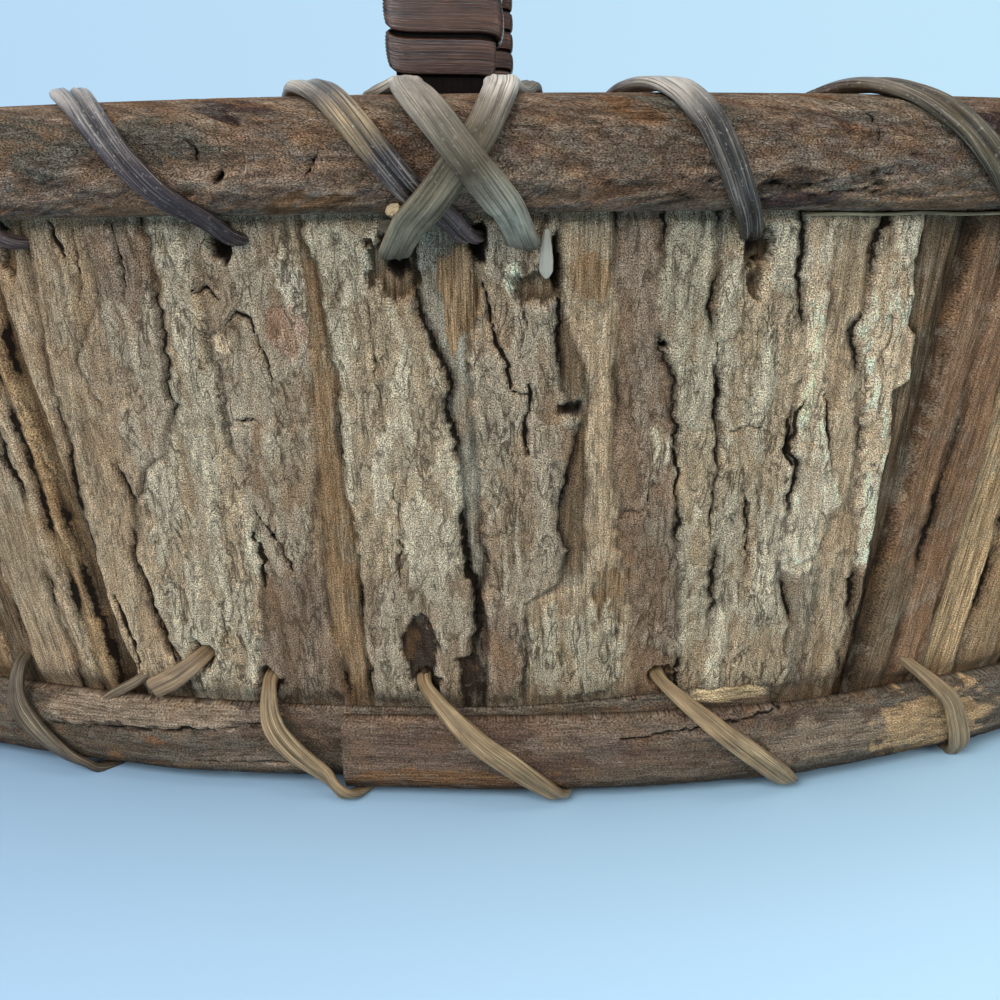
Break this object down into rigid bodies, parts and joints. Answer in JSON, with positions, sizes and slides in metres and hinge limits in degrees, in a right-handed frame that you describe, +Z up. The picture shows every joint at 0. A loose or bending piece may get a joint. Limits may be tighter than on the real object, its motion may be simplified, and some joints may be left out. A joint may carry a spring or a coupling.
{
  "type": "bark gathering basket",
  "caption": "Oval gathering basket of lapped tree-bark slabs, bound with split-sapling rims and a foot hoop by flat cane lashing, with an arched cane-wrapped carrying handle.",
  "frame": {"origin": "on the table under the middle of the oval floor", "axes": "+X along the basket's length, +Z up, the front seen in the picture faces -Y, the handle arches over in the YZ plane"},
  "size_m": [0.3936, 0.2638, 0.2835],
  "materials": {
    "bark": "rough plated grey-tan bark with dark furrows",
    "floor_bark": "flat inner bark, matt",
    "shaved_hoop": "shaved sapling, partly barked, matt",
    "sapling": "split sapling with brown bark, matt",
    "pale_cane": "tan flat cane, fine lengthwise grain",
    "dark_cane": "dark flat cane with rubbed pale edges",
    "olive_cane": "smooth olive-grey flat cane",
    "splint": "pale thin splint",
    "bow": "dark bent wood",
    "dark_strip": "dark glossy flat reed with fine lengthwise striations"
  },
  "bodies": {
    "root": {"bark_front": "bark", "bark_right_front": "bark", "bark_right_back": "bark", "bark_back": "bark", "bark_left_back": "bark", "bark_left_front": "bark", "floor_panel": "floor_bark", "foot_hoop": "shaved_hoop", "foot_lash_front": "pale_cane", "foot_lash_right": "pale_cane", "foot_lash_back": "pale_cane", "foot_lash_left": "pale_cane", "foot_lash_tail": "pale_cane", "rim_outer": "sapling", "rim_inner": "sapling", "rim_shim": "splint", "rim_lash_right": "dark_cane", "rim_lash_left": "dark_cane", "handle_core": "bow", "handle_wrap": "dark_strip", "handle_lash_front": "olive_cane", "handle_lash_back": "olive_cane"}
  },
  "joints": []
}
